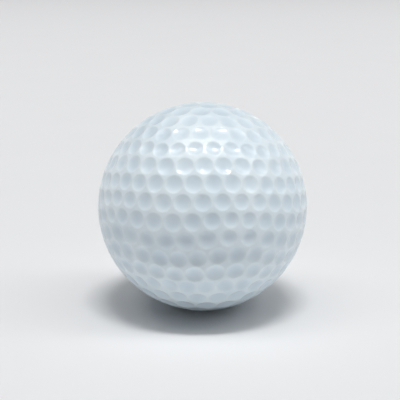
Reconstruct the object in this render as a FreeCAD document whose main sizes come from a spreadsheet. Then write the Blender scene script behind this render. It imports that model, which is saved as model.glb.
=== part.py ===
import FreeCAD, Part
import math
import os

# Golf ball, solid multi-layer type, at its real size in millimetres.
# The origin is the ball's centre and +Z is up as the ball lies.
# Working outwards: a soft rubber centre, a firmer rubber layer cured round it
# as two half shells, a thin stiff casing of two half shells, and a cover of
# two moulded half shells that meet at the mould seam and carry the dimples.
# The dimples lie in rows round the ball's own pole, and the rows wave up and
# down in five waves. The mould seam waves with them, so that no dimple crosses it.

doc = FreeCAD.newDocument("GolfBall")

# ---------------------------------------------------------------------------
# Driving sizes. Lengths are millimetres and angles are degrees.
# ---------------------------------------------------------------------------
SIZES = [
    ("ball_diameter", 42.67, "the smallest diameter that the rules of golf allow"),
    ("cover_wall", 0.80, "thickness of the moulded cover"),
    ("casing_wall", 0.95, "thickness of the stiff casing under the cover"),
    ("centre_diameter", 28.00, "diameter of the soft rubber centre"),
    ("dimple_depth", 0.30, "depth of a dimple below the plane of its rim"),
    ("land_width", 0.12, "least width of cover left between two dimples"),
    ("seam_land", 0.14, "least width of cover left between the two rows at the seam"),
    ("size_step", 0.10, "dimple diameters come in steps of this"),
    ("seam_row_angle", 4.70, "latitude of the row on each side of the seam"),
    ("pole_row_angle", 78.00, "latitude where each last row, round a pole, starts before it is evened out"),
    ("wave_height", 1.75, "how far the rows wave up and down where they wave most"),
    ("wave_latitude", -24.00, "latitude of the row that waves most"),
    ("wave_spread", 27.50, "how far from that row the waves die down"),
    ("wave_turn", 18.00, "azimuth of one crest of the waves"),
    ("lie_tilt", 11.00, "how far the ball's pole leans to +Y as it lies"),
    ("lie_roll", 1.00, "how far the ball's pole leans to +X as it lies"),
]

# Each row, from the seam to the pole: how many dimples it has, and the
# azimuth in degrees of one of them. Azimuth 0 is -Y and grows towards +X.
UPPER_ROWS = [
    (36, 0.3),
    (36, 5.4),
    (33, 0.0),
    (33, 6.7),
    (27, -2.7),
    (21, 4.0),
    (15, -4.0),
    (9, 8.0),
    (3, 20.0),
]
LOWER_ROWS = [
    (36, 3.3),
    (33, 2.4),
    (33, -1.6),
    (30, -4.4),
    (27, 4.0),
    (21, -2.5),
    (15, 6.0),
    (9, -6.0),
    (3, 10.0),
]

# The rows are evened out: each dimple is pushed by the ones round it.
EVENING_STEPS = 60
EVENING_REACH = 2.0
EVENING_POWER = 7
EVENING_GAIN = 0.012

# The rows and the seam go up and down this many times round the ball.
WAVES = 5

# The seam is drawn through this many points.
SEAM_POINTS = 180

# A dimple's cutter stands this far out of the ball, so that it cuts cleanly.
CUTTER_STAND = 0.02

sheet = doc.addObject("Spreadsheet::Sheet", "Sizes")
for number, (alias, value, meaning) in enumerate(SIZES, start=1):
    sheet.set("A%d" % number, alias)
    sheet.set("B%d" % number, str(value))
    sheet.set("C%d" % number, meaning)
    sheet.setAlias("B%d" % number, alias)
doc.recompute()


def size(alias):
    """The plain number that the sheet holds for one driving size."""
    return float(getattr(sheet, alias))


# ---------------------------------------------------------------------------
# The dimple layout
# ---------------------------------------------------------------------------
def on_sphere(latitude, azimuth):
    """The unit direction at a latitude and azimuth in degrees."""
    up = math.radians(latitude)
    turn = math.radians(azimuth)
    flat = math.cos(up)
    return FreeCAD.Vector(flat * math.sin(turn), -flat * math.cos(turn), math.sin(up))


def waved(point):
    """Where the waves take a direction: its latitude goes up or down with its azimuth.

    The height of the waves falls off as a bell curve on each side of the
    latitude that waves most, and is nothing at the poles.
    """
    latitude = math.degrees(math.asin(point.z))
    azimuth = math.degrees(math.atan2(point.x, -point.y))
    away = (latitude - size("wave_latitude")) / size("wave_spread")
    height = size("wave_height") * math.cos(math.radians(latitude)) * math.exp(-(away**2))
    rise = height * math.cos(math.radians(WAVES * (azimuth - size("wave_turn"))))
    return on_sphere(latitude + rise, azimuth)


def seam_line():
    """The directions of points all along the seam, which is the waved equator."""
    return [waved(on_sphere(0, 360.0 * k / SEAM_POINTS)) for k in range(SEAM_POINTS)]


def rows_of(rows, side):
    """The starting directions of one half's rows. side is 1 above the seam and -1 below."""
    first = size("seam_row_angle")
    last = size("pole_row_angle")
    pitch = (last - first) / (len(rows) - 1)
    dimples = []
    for number, (count, turn) in enumerate(rows):
        latitude = side * (first + pitch * number)
        for place in range(count):
            azimuth = turn + 360.0 * place / count
            dimples.append((on_sphere(latitude, azimuth), number == 0))
    return dimples


def close_pairs(points, reach):
    """For each point, the numbers of the points nearer to it than reach."""
    pairs = []
    for one in points:
        near = [k for k, other in enumerate(points) if 0 < (one - other).Length < reach]
        pairs.append(near)
    return pairs


def evened(dimples, spacing):
    """The layout after each dimple has been pushed along by its neighbours.

    A push falls off as a high power of the distance, so only the nearest
    dimples count. The two rows by the seam slide round it and keep their
    latitude, which leaves the seam clear.
    """
    points = [point for point, by_seam in dimples]
    near = close_pairs(points, EVENING_REACH * spacing)
    for step in range(EVENING_STEPS):
        moved = []
        for number, point in enumerate(points):
            push = FreeCAD.Vector(0, 0, 0)
            for k in near[number]:
                away = point - points[k]
                push += away * ((spacing / away.Length) ** EVENING_POWER / away.Length)
            if dimples[number][1]:
                around = FreeCAD.Vector(-point.y, point.x, 0).normalize()
                push = around * push.dot(around)
            new = point + push * (EVENING_GAIN * spacing)
            if dimples[number][1]:
                flat = math.sqrt(1 - point.z**2) / math.hypot(new.x, new.y)
                moved.append(FreeCAD.Vector(new.x * flat, new.y * flat, point.z))
            else:
                moved.append(new.normalize())
        points = moved
    return points


def rim_radii(points, seam, spacing):
    """The rim radius of each dimple, in whole steps, with the land left all round it."""
    radius = size("ball_diameter") / 2
    step = size("size_step") / 2
    near = close_pairs(points, EVENING_REACH * spacing)
    radii = []
    for number, point in enumerate(points):
        gap = min((point - points[k]).Length for k in near[number])
        by_land = (radius * gap - size("land_width")) / 2
        to_seam = min((point - place).Length for place in seam)
        by_seam = radius * to_seam - size("seam_land") / 2
        rim = min(by_land, by_seam)
        radii.append(step * math.floor(rim / step + 1e-6))
    return radii


def dimple_cutter(rim):
    """A lens that cuts one dimple at the +Z pole of the ball.

    Its lower face is part of a sphere through the rim, and its upper face
    follows the ball a little way outside it.
    """
    radius = size("ball_diameter") / 2
    depth = size("dimple_depth")
    bowl = (rim**2 + depth**2) / (2 * depth)
    rim_height = math.sqrt(radius**2 - rim**2)
    bowl_centre = FreeCAD.Vector(0, 0, rim_height - depth + bowl)
    bowl_ball = Part.makeSphere(bowl, bowl_centre)
    outside = Part.makeSphere(radius + CUTTER_STAND)
    return outside.common(bowl_ball).Solids[0]


def parting_tool(seam):
    """All of the cover's side above the seam, as one solid.

    Its underside is ruled from inside the cover to outside it, straight out
    from the ball's centre through the seam. A core fills the space over the
    middle, which the underside leaves open.
    """
    radius = size("ball_diameter") / 2
    inside = radius - size("cover_wall") - 2
    rings = []
    for reach in (inside, radius + 2):
        curve = Part.BSplineCurve()
        curve.interpolate([point * reach for point in seam], PeriodicFlag=True)
        rings.append(curve.toShape())
    up = FreeCAD.Vector(0, 0, 2 * radius)
    around = Part.makeRuledSurface(rings[0], rings[1]).extrude(up)
    core = Part.makeCylinder(inside + 1, 2 * radius, FreeCAD.Vector(0, 0, radius / 8))
    return around.fuse(core)


def cutters(points, radii):
    """One compound of the cutters of a half's dimples, each turned to its own direction."""
    by_rim = {}
    placed = []
    pole = FreeCAD.Vector(0, 0, 1)
    for point, rim in zip(points, radii):
        key = round(rim, 4)
        if key not in by_rim:
            by_rim[key] = dimple_cutter(rim)
        lens = by_rim[key].copy()
        lens.Placement = FreeCAD.Placement(
            FreeCAD.Vector(0, 0, 0), FreeCAD.Rotation(pole, point)
        )
        placed.append(lens)
    return Part.makeCompound(placed)


# ---------------------------------------------------------------------------
# The pieces
# ---------------------------------------------------------------------------
def as_it_lies():
    """The turn that takes the ball from pole-up to the way it lies."""
    lean = FreeCAD.Vector(-size("lie_tilt"), size("lie_roll"), 0)
    return FreeCAD.Placement(FreeCAD.Vector(0, 0, 0), FreeCAD.Rotation(lean, lean.Length))


def ball_solid(name, radius, side=0):
    """A ball of the radius expression, or its half above (1) or below (-1) the seam."""
    solid = doc.addObject("Part::Sphere", name)
    solid.setExpression("Radius", radius)
    solid.Angle1 = 0 if side > 0 else -90
    solid.Angle2 = 0 if side < 0 else 90
    solid.Angle3 = 360
    return solid


def cut(name, base, tool):
    """base with tool taken away."""
    result = doc.addObject("Part::Cut", name)
    result.Base = base
    result.Tool = tool
    return result


def common(name, base, tool):
    """The part of base that is inside tool."""
    result = doc.addObject("Part::Common", name)
    result.Base = base
    result.Tool = tool
    return result


def half_shell(name, outside, inside, side):
    """Half of a hollow ball, between two radius expressions."""
    outer = ball_solid(name + "_outside", outside, side)
    hollow = ball_solid(name + "_inside", inside)
    return cut(name, outer, hollow)


COVER_RADIUS = "Sizes.ball_diameter / 2"
CASING_RADIUS = COVER_RADIUS + " - Sizes.cover_wall"
CORE_RADIUS = CASING_RADIUS + " - Sizes.casing_wall"
CENTRE_RADIUS = "Sizes.centre_diameter / 2"

halves = {
    "upper": rows_of(UPPER_ROWS, 1),
    "lower": rows_of(LOWER_ROWS, -1),
}
layout = halves["upper"] + halves["lower"]
# The spacing is that of the same number of dimples packed evenly over a sphere.
spacing = math.sqrt(8 * math.pi / (math.sqrt(3) * len(layout)))
even_places = evened(layout, spacing)
places = [waved(point) for point in even_places]
seam = seam_line()
rims = rim_radii(places, seam, spacing)

parting = doc.addObject("Part::Feature", "above_the_seam")
parting.Shape = parting_tool(seam)
whole_cover = cut(
    "whole_cover",
    ball_solid("whole_cover_outside", COVER_RADIUS),
    ball_solid("whole_cover_inside", CASING_RADIUS),
)

pieces = []

inner_core = ball_solid("inner_core", CENTRE_RADIUS)
pieces.append(inner_core)

for half, side in (("upper", 1), ("lower", -1)):
    pieces.append(half_shell("outer_core_" + half, CORE_RADIUS, CENTRE_RADIUS, side))
    pieces.append(half_shell("casing_" + half, CASING_RADIUS, CORE_RADIUS, side))

    divide = common if side > 0 else cut
    smooth = divide("smooth_cover_" + half, whole_cover, parting)
    mine = [k for k, point in enumerate(even_places) if point.z * side > 0]
    tools = doc.addObject("Part::Feature", "dimples_" + half)
    tools.Shape = cutters([places[k] for k in mine], [rims[k] for k in mine])
    pieces.append(cut("cover_" + half, smooth, tools))

for piece in pieces:
    piece.Label = piece.Name
    piece.Placement = as_it_lies()

doc.recompute()

# ---------------------------------------------------------------------------
# Checks, then one file for each piece
# ---------------------------------------------------------------------------
for thing in doc.Objects:
    if "Invalid" in thing.State or "Error" in thing.State:
        raise RuntimeError("%s did not build: %s" % (thing.Name, thing.State))

for piece in pieces:
    shape = piece.Shape
    if shape.isNull() or not shape.isValid():
        raise RuntimeError("%s has no valid shape" % piece.Label)
    if len(shape.Solids) != 1:
        raise RuntimeError("%s is %d solids" % (piece.Label, len(shape.Solids)))

os.makedirs("parts", exist_ok=True)
for piece in pieces:
    piece.Shape.exportStep("parts/%s.step" % piece.Label)
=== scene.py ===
import math

import bmesh
import bpy
import numpy as np
from bpy.props import FloatProperty, FloatVectorProperty, IntProperty, PointerProperty
from mathutils import Matrix, Vector


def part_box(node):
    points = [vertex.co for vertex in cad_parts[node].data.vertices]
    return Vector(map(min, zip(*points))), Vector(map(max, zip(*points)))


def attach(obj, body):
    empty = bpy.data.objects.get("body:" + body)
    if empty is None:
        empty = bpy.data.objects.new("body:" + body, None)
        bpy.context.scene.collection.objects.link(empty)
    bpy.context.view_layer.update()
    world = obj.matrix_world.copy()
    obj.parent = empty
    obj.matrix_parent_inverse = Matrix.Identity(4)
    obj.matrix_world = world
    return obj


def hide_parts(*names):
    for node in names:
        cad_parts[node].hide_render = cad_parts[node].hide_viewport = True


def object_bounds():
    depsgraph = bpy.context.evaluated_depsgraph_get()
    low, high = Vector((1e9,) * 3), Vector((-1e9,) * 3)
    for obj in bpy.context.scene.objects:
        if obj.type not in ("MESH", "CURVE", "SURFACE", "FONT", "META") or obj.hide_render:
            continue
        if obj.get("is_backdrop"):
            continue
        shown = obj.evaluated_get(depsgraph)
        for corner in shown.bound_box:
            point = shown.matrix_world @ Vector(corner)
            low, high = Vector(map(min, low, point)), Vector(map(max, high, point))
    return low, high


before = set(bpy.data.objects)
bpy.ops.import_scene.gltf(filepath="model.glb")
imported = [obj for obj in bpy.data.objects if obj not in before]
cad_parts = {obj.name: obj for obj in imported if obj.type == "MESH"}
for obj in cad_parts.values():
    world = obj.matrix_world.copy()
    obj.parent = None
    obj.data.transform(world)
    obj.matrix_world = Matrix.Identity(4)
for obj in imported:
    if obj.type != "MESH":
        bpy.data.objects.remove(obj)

# A golf ball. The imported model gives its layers: a rubber centre, a firmer
# rubber layer and a casing stay as they are and get their finishes here. The
# dimpled cover is made again as two closed shells that meet at the mould seam,
# with the soft rims that the clear coat leaves round each dimple.

bl_info = {
    "name": "Golf Ball",
    "version": (1, 0, 0),
    "blender": (4, 5, 0),
    "location": "3D View > Sidebar > Golf Ball",
    "description": "Makes a dimpled golf ball, its layers' finishes and a studio stage",
    "category": "Add Mesh",
}

# Each row of dimples, from the seam to the pole: how many dimples it has, and
# the azimuth in degrees of one of them. Azimuth 0 is -Y and grows towards +X.
UPPER_ROWS = [
    (36, 0.3),
    (36, 5.4),
    (33, 0.0),
    (33, 6.7),
    (27, -2.7),
    (21, 4.0),
    (15, -4.0),
    (9, 8.0),
    (3, 20.0),
]
LOWER_ROWS = [
    (36, 3.3),
    (33, 2.4),
    (33, -1.6),
    (30, -4.4),
    (27, 4.0),
    (21, -2.5),
    (15, 6.0),
    (9, -6.0),
    (3, 10.0),
]

# The rows are evened out: each dimple is pushed by the ones round it.
EVENING_STEPS = 60
EVENING_REACH = 2.0
EVENING_POWER = 7
EVENING_GAIN = 0.012

# The rows and the seam go up and down this many times round the ball.
WAVES = 5

# A cell's sides come from this many of a dimple's nearest neighbours. FAR is
# farther than any side reaches, and shorter sides than the shortest are left out.
NEAREST = 14
FAR = 9.0
PARALLEL = 1e-9
SHORTEST_SIDE = 2e-6

# The seam is sampled at this many azimuths for the rims' distances from it.
SEAM_SAMPLES = 180
ROUNDING_SLACK = 1e-4

# Rings of a dimple's mesh: portions of the rim's angle inside the rim, and outside
# it the growth over the rim with the most of the land that it may take. One more
# ring lies on the cell's sides.
BOWL_RINGS = (0.0, 0.30, 0.52, 0.68, 0.80, 0.88, 0.94, 1.0)
LAND_RINGS = ((0.045, 0.35), (0.10, 0.70))
DOME_RINGS = 25

MILLIMETRE = 0.001
SAME_POINT = 0.0001 * MILLIMETRE
SHARP_EDGE = math.radians(50)

# The lights' sides, as angles in degrees from straight up: left, right, near
# and far. The key light hangs at a part of the soft light's height.
SOFT_LIGHT_SIDES = (-40, 60, -16, 3)
KEY_LIGHT_SIDES = (-6, 12, -13.5, -9.5)
KEY_LIGHT_LOWER = 0.8
FLOOR_HALF_WIDTH = 40.0

# How the room's brightness goes with the height and the depth of a direction:
# from this low to this high, the wall's part goes from this value to this.
WALL_BY_HEIGHT = (0.10, 0.40, 1.0, 0.0)
WALL_BY_DEPTH = (-0.30, 0.60, 0.15, 1.0)


def outer_radius(*nodes):
    """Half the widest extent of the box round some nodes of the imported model."""
    boxes = [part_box(node) for node in nodes]
    lowest = np.min([low for low, high in boxes], axis=0)
    highest = np.max([high for low, high in boxes], axis=0)
    return float(np.max(highest - lowest)) / 2


BALL_RADIUS = outer_radius("cover_upper", "cover_lower")
CASING_RADIUS = outer_radius("casing_upper", "casing_lower")


# ---------------------------------------------------------------------------
# Sizes and colours
# ---------------------------------------------------------------------------
def length(name, description, default):
    """A length property in metres."""
    return FloatProperty(
        name=name,
        description=description,
        default=default,
        min=0.0,
        precision=6,
        subtype="DISTANCE",
        unit="LENGTH",
    )


def angle(name, description, degrees):
    """An angle property, given in degrees and held in radians."""
    return FloatProperty(
        name=name,
        description=description,
        default=math.radians(degrees),
        subtype="ANGLE",
        unit="ROTATION",
    )


def colour(name, description, default):
    """A colour property."""
    return FloatVectorProperty(
        name=name,
        description=description,
        default=default,
        min=0.0,
        max=1.0,
        size=3,
        subtype="COLOR",
    )


def amount(name, description, default, most=1.0):
    """A plain number property, from 0 to its most."""
    return FloatProperty(name=name, description=description, default=default, min=0.0, max=most)


class GolfBallSizes(bpy.types.PropertyGroup):
    """The sizes of the cover and its dimples"""

    ball_diameter: length("Ball Diameter", "Diameter of the ball over its cover", 2 * BALL_RADIUS)
    cover_wall: length("Cover Wall", "Thickness of the cover", BALL_RADIUS - CASING_RADIUS)
    dimple_depth: length("Dimple Depth", "Depth below the plane of the rim", 0.30 * MILLIMETRE)
    rim_softness: length("Rim Softness", "How far the coat rounds a rim", 0.016 * MILLIMETRE)
    land_width: length("Land Width", "Least cover between two dimples", 0.12 * MILLIMETRE)
    seam_land: length("Seam Land", "Least cover between the rows at the seam", 0.14 * MILLIMETRE)
    size_step: length("Size Step", "Step between dimple diameters", 0.10 * MILLIMETRE)
    seam_row_angle: angle("Seam Row Angle", "Latitude of the rows next to the seam", 4.7)
    pole_row_angle: angle("Pole Row Angle", "Where each last row starts", 78.0)
    wave_height: angle("Wave Height", "How far the rows wave where they wave most", 1.75)
    wave_latitude: angle("Wave Latitude", "Latitude of the row that waves most", -24.0)
    wave_spread: angle("Wave Spread", "How far from that row the waves die down", 27.5)
    wave_turn: angle("Wave Turn", "Azimuth of one crest of the waves", 18.0)
    lie_tilt: angle("Lie Tilt", "How far the pole leans away as the ball lies", 11.0)
    lie_roll: angle("Lie Roll", "How far the pole leans to the right as the ball lies", 1.0)
    cell_side_steps: IntProperty(
        name="Cell Side Steps",
        description="Faces along each side of the cell round a dimple",
        default=6,
        min=2,
        max=12,
    )


class GolfBallFinish(bpy.types.PropertyGroup):
    """The colours of the layers, and how glossy the coat is"""

    cover_colour: colour("Cover", "Cool white of the cover", (0.855, 0.95, 1.00))
    # The cover's darker tone: the cloudy mottle leans towards it at random, and the dimple bowls
    # are painted towards it by their depth as painted shade.
    mottle_and_painted_shade_colour: colour(
        "Cover Shade", "The cover where its white is thinnest", (0.675, 0.79, 0.885)
    )
    coat_roughness: amount("Coat Roughness", "Roughness of the clear coat", 0.045)
    casing_colour: colour("Casing", "Milky casing under the cover", (0.80, 0.82, 0.78))
    core_colour: colour("Outer Core", "Firm blue rubber", (0.05, 0.16, 0.42))
    centre_colour: colour("Centre", "Soft orange rubber", (0.78, 0.24, 0.05))


class GolfBallStage(bpy.types.PropertyGroup):
    """The floor, the lights and the camera"""

    floor_colour: colour("Floor", "Pale floor", (0.80, 0.805, 0.815))
    camera_elevation: angle("Camera Elevation", "Height of the view above level", 14.0)
    camera_distance: length("Camera Distance", "Camera to the ball's centre", 0.192)
    camera_lens: amount("Camera Lens", "Focal length in millimetres", 84.0, 500.0)
    aim_left: length("Aim Left", "How far left of the centre the camera aims", 0.00051)
    aim_up: length("Aim Up", "How far above the centre the camera aims", 0.00129)
    light_height: length("Light Height", "Height of the lights over the floor", 14.0)
    soft_power: amount("Soft Power", "Power of the wide soft light in watts", 1950.0, 9000.0)
    key_power: amount("Key Power", "Power of the smaller light in watts", 920.0, 9000.0)
    room_level: amount("Room Level", "Brightness of the room", 0.03, 10.0)
    wall_level: amount("Wall Level", "Brightness of the back wall near the floor", 1.00, 10.0)


# ---------------------------------------------------------------------------
# The dimple layout
# ---------------------------------------------------------------------------
def unit(vectors):
    """The vectors, each divided by its own length."""
    return vectors / np.linalg.norm(vectors, axis=-1, keepdims=True)


def on_sphere(latitude, azimuth):
    """The directions (cos lat * sin az, -cos lat * cos az, sin lat)."""
    flat = np.cos(latitude)
    return np.stack([flat * np.sin(azimuth), -flat * np.cos(azimuth), np.sin(latitude)], axis=-1)


def waved(directions, sizes):
    """Where the waves take some directions.

    Each latitude rises by height * cos lat * exp(-((lat - most) / spread)^2)
    times the cosine of the number of waves times the azimuth from a crest.
    """
    latitude = np.arcsin(directions[..., 2])
    azimuth = np.arctan2(directions[..., 0], -directions[..., 1])
    away = (latitude - sizes.wave_latitude) / sizes.wave_spread
    height = sizes.wave_height * np.cos(latitude) * np.exp(-(away**2))
    rise = height * np.cos(WAVES * (azimuth - sizes.wave_turn))
    return on_sphere(latitude + rise, azimuth)


def row_directions(rows, side, sizes):
    """One half's directions before evening, and which of them are next to the seam.

    Row k lies at the latitude side * (first + pitch * k), and its n
    directions go round in n equal steps from the row's own start.
    """
    counts = np.array([count for count, start in rows])
    starts = np.radians([start for count, start in rows])
    rank = np.repeat(np.arange(len(rows)), counts)
    place = np.arange(counts.sum()) - (np.cumsum(counts) - counts)[rank]
    pitch = (sizes.pole_row_angle - sizes.seam_row_angle) / (len(rows) - 1)
    latitude = side * (sizes.seam_row_angle + pitch * rank)
    azimuth = starts[rank] + 2 * math.pi * place / counts[rank]
    return on_sphere(latitude, azimuth), rank == 0


def evened(points, by_seam):
    """The layout after every dimple has been pushed along by its neighbours.

    The spacing is that of as many dimples packed evenly over a sphere. A push
    is (spacing / distance) to a high power, away from the neighbour. Dimples
    next to the seam only slide round it.
    """
    spacing = math.sqrt(8 * math.pi / (math.sqrt(3) * len(points)))
    distance = np.linalg.norm(points[:, None] - points[None], axis=-1)
    near = (distance > 0) & (distance < EVENING_REACH * spacing)
    height = points[:, 2:3]
    for step in range(EVENING_STEPS):
        away = points[:, None] - points[None]
        distance = np.where(near, np.linalg.norm(away, axis=-1), 1.0)
        weight = np.where(near, (spacing / distance) ** EVENING_POWER / distance, 0.0)
        push = (away * weight[..., None]).sum(axis=1)
        around = unit(np.stack([-points[:, 1], points[:, 0], 0 * points[:, 0]], axis=1))
        sliding = around * (push * around).sum(axis=1, keepdims=True)
        push = np.where(by_seam[:, None], sliding, push)
        moved = points + push * (EVENING_GAIN * spacing)
        level = np.concatenate([unit(moved[:, :2]) * np.sqrt(1 - height**2), height], axis=1)
        points = np.where(by_seam[:, None], level, unit(moved))
    return points


def rim_radii(points, sizes):
    """The rim radius of each dimple: half the gap to its nearest neighbour less
    the land, or its distance from the seam less half the seam's land,
    whichever is less, rounded down to a whole step."""
    radius = sizes.ball_diameter / 2
    step = sizes.size_step / 2
    azimuth = np.arange(SEAM_SAMPLES) * 2 * math.pi / SEAM_SAMPLES
    seam = waved(on_sphere(np.zeros(SEAM_SAMPLES), azimuth), sizes)
    to_seam = np.linalg.norm(points[:, None] - seam[None], axis=-1).min(axis=1)
    distance = np.linalg.norm(points[:, None] - points[None], axis=-1)
    np.fill_diagonal(distance, FAR)
    by_land = (radius * distance.min(axis=1) - sizes.land_width) / 2
    by_seam = radius * to_seam - sizes.seam_land / 2
    return step * np.floor(np.minimum(by_land, by_seam) / step + ROUNDING_SLACK)


# ---------------------------------------------------------------------------
# The mesh of a cover half
# ---------------------------------------------------------------------------
def cell_sides(points, count):
    """The sides of the cells round the first count points.

    A cell holds what is nearer to its own point P than to any other. Its side
    towards a neighbour Q runs along (P + Q) + t * (P x Q). Each third point K
    keeps the part where (P - K) . (that vector) >= 0, which cuts t to a range.
    Gives, for each side: its point's number, its neighbour's number, P + Q,
    P x Q, and the two ends of t.
    """
    own = points[:count]
    distance = np.linalg.norm(own[:, None] - points[None], axis=-1)
    near = np.argsort(distance, axis=1)[:, 1 : NEAREST + 1]
    others = points[near]
    middle = own[:, None] + others
    along = np.cross(own[:, None], others)
    apart = own[:, None] - others
    slope = np.einsum("nkd,njd->njk", apart, along)
    start = np.einsum("nkd,njd->njk", apart, middle)
    steep = np.abs(slope) > PARALLEL
    turn = -start / np.where(steep, slope, 1.0)
    low = np.where(steep & (slope > 0), turn, -FAR).max(axis=2)
    high = np.where(steep & (slope < 0), turn, FAR).min(axis=2)
    point, rank = np.nonzero(high - low > SHORTEST_SIDE)
    return (
        point,
        near[point, rank],
        middle[point, rank],
        along[point, rank],
        low[point, rank],
        high[point, rank],
    )


def bowl_drop(angles, rims, sizes):
    """How far a bowl lies under the ball's surface, at an angle from its middle.

    The bowl is part of a sphere through the rim, depth deeper than the rim's
    plane. With c the height of that sphere's centre and b its radius, the
    bowl's distance from the ball's centre at the angle a is
    c * cos a - sqrt(b^2 - (c * sin a)^2), and the drop is the ball's radius
    less that. It is below zero outside the rim.
    """
    radius = sizes.ball_diameter / 2
    depth = sizes.dimple_depth
    bowl = (rims**2 + depth**2) / (2 * depth)
    centre = np.sqrt(radius**2 - rims**2) - depth + bowl
    inside = np.maximum(bowl**2 - (centre * np.sin(angles)) ** 2, 0)
    return radius - (centre * np.cos(angles) - np.sqrt(inside))


def dimpled_surface(points, rims, count, sizes):
    """The dimpled outer face of a half, as a grid of points for each side of each cell.

    Along a side the grid takes equal steps of t, and the waves then take the
    side to its place. Across, the grid goes in rings from the dimple's waved
    middle out to the side. A ring's point lies at an angle from the middle,
    and at the ball's radius less the soft drop s * ln(1 + exp(drop / s)),
    which rounds the rim and fades out to nothing at the cell's side. Gives
    the points, the part of the full drop at each, and the numbers of the
    sides' neighbours.
    """
    radius = sizes.ball_diameter / 2
    softness = sizes.rim_softness
    point, neighbour, middle, along, low, high = cell_sides(points, count)
    step = np.linspace(0, 1, sizes.cell_side_steps + 1)
    t = low[:, None] + (high - low)[:, None] * step
    edge = waved(unit(middle[:, None] + t[..., None] * along[:, None]), sizes)
    own = waved(points[point], sizes)[:, None]
    facing = (edge * own).sum(axis=-1)
    outward = unit(edge - facing[..., None] * own)
    reach = np.arccos(np.clip(facing, -1, 1))

    rim = rims[point][:, None]
    rim_angle = np.arcsin(rim / radius)
    rings = [portion * rim_angle + 0 * reach for portion in BOWL_RINGS]
    for growth, most in LAND_RINGS:
        grown = np.minimum(rim_angle * growth, (reach - rim_angle) * most)
        rings.append(rim_angle + grown)
    rings.append(reach)
    if (reach <= rim_angle).any():
        raise RuntimeError("a dimple's rim reaches past its cell")
    angles = np.stack(rings, axis=-1)

    rim = rim[..., None]
    drop = bowl_drop(angles, rim, sizes)
    soft = softness * np.logaddexp(0, drop / softness)
    over = (angles - rim_angle[..., None]) / (reach - rim_angle)[..., None]
    soft *= 1 - np.clip(over, 0, 1) ** 2
    direction = (
        np.cos(angles)[..., None] * own[:, :, None]
        + np.sin(angles)[..., None] * outward[:, :, None]
    )
    deepest = bowl_drop(np.zeros(1), rims.max(), sizes)
    return direction * (radius - soft)[..., None], soft / deepest, neighbour


def seam_and_inside(edge, sizes, side):
    """The face along the waved seam and the inner dome, as one grid round the pole.

    For each of the seam's points, in order round the ball, the profile goes
    from the outer edge straight in to the casing's radius, and then along the
    dome in equal steps of latitude from the seam's own to the pole.
    """
    inner = sizes.ball_diameter / 2 - sizes.cover_wall
    azimuth = np.arctan2(edge[:, 0], -edge[:, 1])
    order = np.argsort(azimuth)
    edge, azimuth = edge[order], azimuth[order]
    alone = np.linalg.norm(edge - np.roll(edge, 1, axis=0), axis=1) > SAME_POINT
    edge, azimuth = edge[alone], azimuth[alone]
    start = np.arcsin(unit(edge)[:, 2])
    climb = np.linspace(0, 1, DOME_RINGS)[:, None]
    latitude = start + climb * (side * math.pi / 2 - start)
    dome = inner * on_sphere(latitude, azimuth + 0 * latitude)
    grid = np.concatenate([edge[None], dome])
    return np.concatenate([grid, grid[:, :1]], axis=1)


def grid_faces(shape):
    """The corners of the faces of a stack of grids, each with rows and columns."""
    stack, rows, columns = shape
    number = np.arange(stack * rows * columns).reshape(shape)
    corners = (
        number[:, :-1, :-1],
        number[:, :-1, 1:],
        number[:, 1:, 1:],
        number[:, 1:, :-1],
    )
    return np.stack([corner.ravel() for corner in corners], axis=1)


def mesh_from_grids(name, points, faces, bowl):
    """A closed mesh of the points and faces, doubles merged and its faces outward.

    The attribute named bowl holds how deep in a dimple each point lies.
    """
    mesh = bpy.data.meshes.new(name)
    mesh.vertices.add(len(points))
    mesh.vertices.foreach_set("co", points.astype(np.float32).ravel())
    mesh.loops.add(faces.size)
    mesh.loops.foreach_set("vertex_index", faces.ravel().astype(np.int32))
    mesh.polygons.add(len(faces))
    mesh.polygons.foreach_set("loop_start", np.arange(0, faces.size, 4, dtype=np.int32))
    mesh.update(calc_edges=True)
    depth = mesh.attributes.new("bowl", "FLOAT", "POINT")
    depth.data.foreach_set("value", bowl.astype(np.float32))

    shaping = bmesh.new()
    shaping.from_mesh(mesh)
    bmesh.ops.remove_doubles(shaping, verts=shaping.verts, dist=SAME_POINT)
    bmesh.ops.recalc_face_normals(shaping, faces=shaping.faces)
    if shaping.calc_volume(signed=True) < 0:
        bmesh.ops.reverse_faces(shaping, faces=shaping.faces)
    open_edges = [edge for edge in shaping.edges if not edge.is_manifold]
    if open_edges:
        raise RuntimeError("%s has %d open edges" % (name, len(open_edges)))
    shaping.to_mesh(mesh)
    shaping.free()
    mesh.shade_smooth()
    mesh.set_sharp_from_angle(angle=SHARP_EDGE)
    return mesh


def lie_turn(sizes):
    """The turn from pole-up to the way the ball lies, about one level axis."""
    lean = Vector((-sizes.lie_tilt, sizes.lie_roll, 0))
    return np.array(Matrix.Rotation(lean.length, 3, lean))


def cover_half(name, side, points, rims, sizes):
    """One half of the cover as a closed shell mesh, lying as the ball lies.

    The half's points, as they are before the waves, are joined by their mirror
    images below the equator, so that the cells of the last row end exactly on
    the seam.
    """
    mine = points[:, 2] * side > 0
    own = points[mine]
    both = np.concatenate([own, own * (1, 1, -1)])
    outside, bowl, neighbour = dimpled_surface(both, rims[mine], len(own), sizes)
    at_seam = neighbour >= len(own)
    edge = outside[at_seam][:, :, -1].reshape(-1, 3)
    inside = seam_and_inside(edge, sizes, side)

    outer_faces = grid_faces(outside.shape[:3])
    inner_faces = grid_faces((1, *inside.shape[:2])) + outside[..., 0].size
    coordinates = np.concatenate([outside.reshape(-1, 3), inside.reshape(-1, 3)])
    depth = np.concatenate([bowl.ravel(), np.zeros(inside[..., 0].size)])
    faces = np.concatenate([outer_faces, inner_faces])
    return mesh_from_grids(name, coordinates @ lie_turn(sizes).T, faces, depth)


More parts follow.
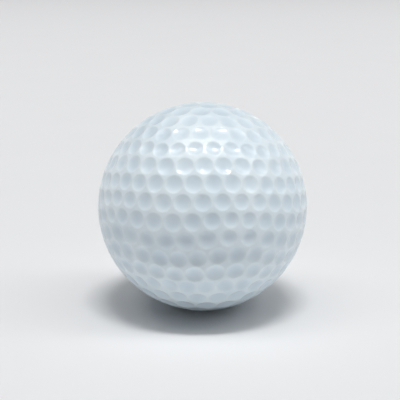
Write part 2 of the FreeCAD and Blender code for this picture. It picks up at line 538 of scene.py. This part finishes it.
# ---------------------------------------------------------------------------
# Materials
# ---------------------------------------------------------------------------
def set_range(node, low, high, to_low, to_high):
    """Sets a Map Range node to take low..high to to_low..to_high."""
    for key, value in enumerate((low, high, to_low, to_high), start=1):
        node.inputs[key].default_value = value


class Finish:
    """A material being built, with its shader and the object's coordinates."""

    def __init__(self, name):
        self.material = bpy.data.materials.new(name)
        self.material.use_nodes = True
        self.tree = self.material.node_tree
        self.shader = self.tree.nodes["Principled BSDF"]
        self.place = self.node("ShaderNodeTexCoord", (-1300, 0)).outputs["Object"]

    def node(self, kind, location, **values):
        """A new node, with its sockets and settings set by name."""
        made = self.tree.nodes.new(kind)
        made.location = location
        for key, value in values.items():
            if key in made.inputs:
                made.inputs[key].default_value = value
            else:
                setattr(made, key, value)
        return made

    def link(self, output, target):
        """Joins an output to an input."""
        self.tree.links.new(output, target)

    def noise(self, location, size, detail=2.0, roughness=0.5, distortion=0.0):
        """A noise whose features are about size metres across."""
        made = self.node(
            "ShaderNodeTexNoise",
            location,
            Scale=1 / size,
            Detail=detail,
            Roughness=roughness,
            Distortion=distortion,
        )
        self.link(self.place, made.inputs["Vector"])
        return made.outputs["Fac"]

    def specks(self, location, size, reach):
        """Round specks, one in each cell of the size given: 1 inside and 0 outside.

        A speck fades out between 0.6 of its reach and its reach, in cells.
        """
        cells = self.node("ShaderNodeTexVoronoi", location, Scale=1 / size)
        self.link(self.place, cells.inputs["Vector"])
        x, y = location
        return self.stretch((x + 200, y), cells.outputs["Distance"], reach, 0.6 * reach)

    def stretch(self, location, value, low, high, to_low=0.0, to_high=1.0):
        """The value, mapped from low..high to to_low..to_high and kept between them."""
        made = self.node("ShaderNodeMapRange", location)
        made.clamp = True
        set_range(made, low, high, to_low, to_high)
        self.link(value, made.inputs[0])
        return made.outputs["Result"]

    def mix(self, location, factor, one, other):
        """A colour between two, each a plain colour or an output."""
        made = self.node("ShaderNodeMix", location, data_type="RGBA")
        self.link(factor, made.inputs["Factor"])
        sockets = [s for s in made.inputs if s.type == "RGBA"]
        for socket, value in zip(sockets, (one, other)):
            if isinstance(value, bpy.types.NodeSocket):
                self.link(value, socket)
            else:
                socket.default_value = (*value, 1.0)
        return [s for s in made.outputs if s.type == "RGBA"][0]

    def bump(self, location, height, distance, strength=1.0, below=None):
        """A bump of the height output, distance metres from 0 to 1."""
        made = self.node("ShaderNodeBump", location, Strength=strength, Distance=distance)
        self.link(height, made.inputs["Height"])
        if below is not None:
            self.link(below, made.inputs["Normal"])
        return made.outputs["Normal"]


def cover_material(finish):
    """Cool white cover under a glossy clear coat: a cloudy tint, painted shade that
    darkens the bowls more the deeper they lie, and the faint ripple of sprayed lacquer."""
    cover = Finish("white_cover_clear_coat")
    clouds = cover.noise((-1050, 260), size=0.0060, detail=3.0)
    faint = cover.stretch((-850, 260), clouds, low=0.35, high=0.65, to_high=0.35)
    # Painted shade: the deeper a point lies in a dimple's bowl, the more its colour goes towards
    # the darker tone.
    depth = cover.node("ShaderNodeAttribute", (-1050, 20), attribute_name="bowl")
    painted_bowl_shade = cover.stretch((-850, 20), depth.outputs["Fac"], low=0.0, high=1.0, to_high=0.60)
    both = cover.node("ShaderNodeMath", (-640, 160), operation="ADD")
    cover.link(faint, both.inputs[0])
    cover.link(painted_bowl_shade, both.inputs[1])
    tint = cover.mix(
        (-440, 240), both.outputs[0], tuple(finish.cover_colour), tuple(finish.mottle_and_painted_shade_colour)
    )
    cover.link(tint, cover.shader.inputs["Base Color"])

    matt = cover.noise((-1050, -220), size=0.0015, detail=2.0)
    rough = cover.stretch((-640, -120), matt, low=0.3, high=0.7, to_low=0.38, to_high=0.48)
    cover.link(rough, cover.shader.inputs["Roughness"])

    ripple = cover.noise((-1050, -460), size=0.00055, detail=1.0)
    wide = cover.noise((-1050, -680), size=0.0030, detail=1.0)
    gentle = cover.bump((-640, -620), wide, distance=0.000004)
    skin = cover.bump((-440, -460), ripple, distance=0.0000007, below=gentle)
    cover.link(gentle, cover.shader.inputs["Normal"])
    cover.link(skin, cover.shader.inputs["Coat Normal"])

    cover.shader.inputs["IOR"].default_value = 1.50
    cover.shader.inputs["Specular IOR Level"].default_value = 0.15
    cover.shader.inputs["Coat Weight"].default_value = 0.55
    cover.shader.inputs["Coat Roughness"].default_value = finish.coat_roughness
    cover.shader.inputs["Coat IOR"].default_value = 1.50
    return cover.material


def rubber_material(name, base, grain):
    """Moulded rubber: a cloudy colour, pale specks of filler and a fine matt grain.

    The grain is the size of its finest bumps in metres.
    """
    rubber = Finish(name)
    clouds = rubber.noise((-1050, 240), size=0.0080, detail=4.0, distortion=0.4)
    shade = rubber.stretch((-850, 240), clouds, low=0.30, high=0.70)
    dark = tuple(0.72 * part for part in base)
    body = rubber.mix((-640, 240), shade, tuple(base), dark)
    dots = rubber.specks((-1050, 0), size=grain * 4, reach=0.22)
    pale = tuple(0.5 * part + 0.42 for part in base)
    tint = rubber.mix((-400, 200), dots, body, pale)
    rubber.link(tint, rubber.shader.inputs["Base Color"])

    fine = rubber.noise((-1050, -260), size=grain, detail=3.0)
    rough = rubber.stretch((-640, -160), fine, low=0.3, high=0.7, to_low=0.62, to_high=0.82)
    rubber.link(rough, rubber.shader.inputs["Roughness"])
    coarse = rubber.noise((-1050, -500), size=grain * 6, detail=2.0)
    swell = rubber.bump((-640, -520), coarse, distance=0.00003)
    skin = rubber.bump((-400, -420), fine, distance=0.00001, below=swell)
    rubber.link(skin, rubber.shader.inputs["Normal"])
    return rubber.material


def casing_material(finish):
    """Milky ionomer: faint streaks from moulding, half matt, with light inside it."""
    casing = Finish("milky_casing")
    flow = casing.node("ShaderNodeMapping", (-1100, 240), Scale=(1.0, 1.0, 0.25))
    casing.link(casing.place, flow.inputs["Vector"])
    streaks = casing.node(
        "ShaderNodeTexNoise", (-900, 240), Scale=420.0, Detail=3.0, Roughness=0.5, Distortion=0.6
    )
    casing.link(flow.outputs["Vector"], streaks.inputs["Vector"])
    shade = casing.stretch((-700, 240), streaks.outputs["Fac"], low=0.35, high=0.65)
    dark = tuple(0.88 * part for part in finish.casing_colour)
    tint = casing.mix((-440, 240), shade, tuple(finish.casing_colour), dark)
    casing.link(tint, casing.shader.inputs["Base Color"])
    fine = casing.noise((-1050, -200), size=0.0006, detail=2.0)
    rough = casing.stretch((-640, -120), fine, low=0.3, high=0.7, to_low=0.42, to_high=0.58)
    casing.link(rough, casing.shader.inputs["Roughness"])
    skin = casing.bump((-440, -300), fine, distance=0.000006)
    casing.link(skin, casing.shader.inputs["Normal"])
    casing.shader.inputs["Subsurface Weight"].default_value = 0.15
    casing.shader.inputs["Subsurface Scale"].default_value = 0.0015
    return casing.material


def floor_material(floor_colour):
    """Matt pale paper with a hardly visible mottle and tooth."""
    paper = Finish("pale_paper")
    clouds = paper.noise((-1050, 200), size=0.050, detail=3.0)
    shade = paper.stretch((-850, 200), clouds, low=0.3, high=0.7)
    low = tuple(0.992 * part for part in floor_colour)
    tint = paper.mix((-440, 200), shade, tuple(floor_colour), low)
    paper.link(tint, paper.shader.inputs["Base Color"])
    tooth = paper.noise((-1050, -200), size=0.0004, detail=2.0)
    skin = paper.bump((-440, -200), tooth, distance=0.00001)
    paper.link(skin, paper.shader.inputs["Normal"])
    paper.shader.inputs["Roughness"].default_value = 0.95
    paper.shader.inputs["Specular IOR Level"].default_value = 0.1
    return paper.material


def dress(nodes, material):
    """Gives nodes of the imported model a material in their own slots."""
    for name in nodes:
        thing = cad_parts[name]
        for slot in thing.material_slots:
            slot.material = material
        if not thing.material_slots:
            thing.data.materials.append(material)


# ---------------------------------------------------------------------------
# Operators
# ---------------------------------------------------------------------------
class GOLFBALL_OT_cover(bpy.types.Operator):
    """Make the two halves of the dimpled cover"""

    bl_idname = "golfball.cover"
    bl_label = "Make Cover"

    def execute(self, context):
        sizes = context.scene.golf_ball_sizes
        upper, upper_seam = row_directions(UPPER_ROWS, 1, sizes)
        lower, lower_seam = row_directions(LOWER_ROWS, -1, sizes)
        starts = np.concatenate([upper, lower])
        points = evened(starts, np.concatenate([upper_seam, lower_seam]))
        rims = rim_radii(waved(points, sizes), sizes)
        material = cover_material(context.scene.golf_ball_finish)
        for half, side in (("upper", 1), ("lower", -1)):
            name = "cover_shell_" + half
            mesh = cover_half(name, side, points, rims, sizes)
            mesh.materials.append(material)
            shell = bpy.data.objects.new(name, mesh)
            context.scene.collection.objects.link(shell)
            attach(shell, "root")
            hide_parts("cover_" + half)
        return {"FINISHED"}


class GOLFBALL_OT_casing(bpy.types.Operator):
    """Finish the stiff casing under the cover"""

    bl_idname = "golfball.casing"
    bl_label = "Finish Casing"

    def execute(self, context):
        dress(["casing_upper", "casing_lower"], casing_material(context.scene.golf_ball_finish))
        return {"FINISHED"}


class GOLFBALL_OT_core(bpy.types.Operator):
    """Finish the rubber centre and the firmer rubber round it"""

    bl_idname = "golfball.core"
    bl_label = "Finish Core"

    def execute(self, context):
        finish = context.scene.golf_ball_finish
        outer = rubber_material("firm_blue_rubber", finish.core_colour, grain=0.00035)
        centre = rubber_material("soft_orange_rubber", finish.centre_colour, grain=0.00050)
        dress(["outer_core_upper", "outer_core_lower"], outer)
        dress(["inner_core"], centre)
        return {"FINISHED"}


def make_floor(stage, level):
    """A large level floor at the ball's lowest point."""
    half = FLOOR_HALF_WIDTH
    flat_corners = ((-half, -half), (half, -half), (half, half), (-half, half))
    corners = [(x, y, level) for x, y in flat_corners]
    mesh = bpy.data.meshes.new("floor")
    mesh.from_pydata(corners, [], [(0, 1, 2, 3)])
    mesh.materials.append(floor_material(tuple(stage.floor_colour)))
    floor = bpy.data.objects.new("floor", mesh)
    bpy.context.scene.collection.objects.link(floor)
    floor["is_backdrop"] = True


def make_light(name, floor, height, power, sides):
    """A level rectangle of light at a height over the floor.

    The tangent of each side's angle from straight up, times the height, is
    how far that side lies from over the ball.
    """
    left, right, near, far = (height * math.tan(math.radians(degrees)) for degrees in sides)
    panel = bpy.data.lights.new(name, "AREA")
    panel.shape = "RECTANGLE"
    panel.size = right - left
    panel.size_y = far - near
    panel.energy = power
    lamp = bpy.data.objects.new(name, panel)
    lamp.location = ((left + right) / 2, (near + far) / 2, floor + height)
    bpy.context.scene.collection.objects.link(lamp)


def make_world(stage):
    """A dim room whose back wall is bright near the floor.

    The brightness goes from the room's level to the wall's with the product of
    a part that falls with height and a part that grows towards the back.
    """
    world = bpy.data.worlds.new("room")
    world.use_nodes = True
    tree = world.node_tree
    background = tree.nodes["Background"]
    place = tree.nodes.new("ShaderNodeTexCoord")
    parts = tree.nodes.new("ShaderNodeSeparateXYZ")
    low = tree.nodes.new("ShaderNodeMapRange")
    low.interpolation_type = "SMOOTHSTEP"
    set_range(low, *WALL_BY_HEIGHT)
    back = tree.nodes.new("ShaderNodeMapRange")
    back.interpolation_type = "SMOOTHSTEP"
    set_range(back, *WALL_BY_DEPTH)
    both = tree.nodes.new("ShaderNodeMath")
    both.operation = "MULTIPLY"
    level = tree.nodes.new("ShaderNodeMapRange")
    level.inputs["To Min"].default_value = stage.room_level
    level.inputs["To Max"].default_value = stage.wall_level
    tree.links.new(place.outputs["Generated"], parts.inputs["Vector"])
    tree.links.new(parts.outputs["Z"], low.inputs[0])
    tree.links.new(parts.outputs["Y"], back.inputs[0])
    tree.links.new(low.outputs["Result"], both.inputs[0])
    tree.links.new(back.outputs["Result"], both.inputs[1])
    tree.links.new(both.outputs["Value"], level.inputs["Value"])
    tree.links.new(level.outputs["Result"], background.inputs["Strength"])
    background.inputs["Color"].default_value = (1.0, 1.0, 1.0, 1.0)
    bpy.context.scene.world = world


def make_camera(stage):
    """A camera in front of the ball, looking down on it by the stage's elevation."""
    lens = bpy.data.cameras.new("camera")
    lens.lens = stage.camera_lens
    lens.sensor_width = 36.0
    lens.clip_start = 0.01
    lens.clip_end = 100.0
    camera = bpy.data.objects.new("camera", lens)
    up, flat = math.sin(stage.camera_elevation), math.cos(stage.camera_elevation)
    camera.location = Vector((0, -flat, up)) * stage.camera_distance
    over = Vector((0, up, flat))
    aim = over * stage.aim_up - Vector((1, 0, 0)) * stage.aim_left
    camera.rotation_mode = "QUATERNION"
    camera.rotation_quaternion = (aim - camera.location).to_track_quat("-Z", "Y")
    bpy.context.scene.collection.objects.link(camera)
    bpy.context.scene.camera = camera


class GOLFBALL_OT_stage(bpy.types.Operator):
    """Make the floor, the lights, the room and the camera"""

    bl_idname = "golfball.stage"
    bl_label = "Make Stage"

    def execute(self, context):
        stage = context.scene.golf_ball_stage
        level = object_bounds()[0].z
        make_floor(stage, level)
        high = stage.light_height
        make_light("soft_light", level, high, stage.soft_power, SOFT_LIGHT_SIDES)
        near_power = stage.key_power * KEY_LIGHT_LOWER**2
        make_light("key_light", level, high * KEY_LIGHT_LOWER, near_power, KEY_LIGHT_SIDES)
        make_world(stage)
        make_camera(stage)
        context.scene.view_settings.view_transform = "Standard"
        return {"FINISHED"}


class GOLFBALL_PT_panel(bpy.types.Panel):
    """Everything that makes the golf ball"""

    bl_label = "Golf Ball"
    bl_idname = "GOLFBALL_PT_panel"
    bl_space_type = "VIEW_3D"
    bl_region_type = "UI"
    bl_category = "Golf Ball"

    def draw(self, context):
        for group, operators in (
            (context.scene.golf_ball_sizes, ("golfball.cover",)),
            (context.scene.golf_ball_finish, ("golfball.casing", "golfball.core")),
            (context.scene.golf_ball_stage, ("golfball.stage",)),
        ):
            box = self.layout.box()
            for name in group.bl_rna.properties.keys():
                if name not in ("rna_type", "name"):
                    box.prop(group, name)
            for operator in operators:
                box.operator(operator)


CLASSES = (
    GolfBallSizes,
    GolfBallFinish,
    GolfBallStage,
    GOLFBALL_OT_cover,
    GOLFBALL_OT_casing,
    GOLFBALL_OT_core,
    GOLFBALL_OT_stage,
    GOLFBALL_PT_panel,
)


def register():
    for made in CLASSES:
        bpy.utils.register_class(made)
    bpy.types.Scene.golf_ball_sizes = PointerProperty(type=GolfBallSizes)
    bpy.types.Scene.golf_ball_finish = PointerProperty(type=GolfBallFinish)
    bpy.types.Scene.golf_ball_stage = PointerProperty(type=GolfBallStage)


def unregister():
    del bpy.types.Scene.golf_ball_stage
    del bpy.types.Scene.golf_ball_finish
    del bpy.types.Scene.golf_ball_sizes
    for made in reversed(CLASSES):
        bpy.utils.unregister_class(made)


def main():
    """Makes the ball and its stage."""
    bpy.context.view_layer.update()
    register()
    for make in (
        bpy.ops.golfball.cover,
        bpy.ops.golfball.casing,
        bpy.ops.golfball.core,
        bpy.ops.golfball.stage,
    ):
        if make() != {"FINISHED"}:
            raise RuntimeError("a step did not finish")


if __name__ == "__main__":
    main()
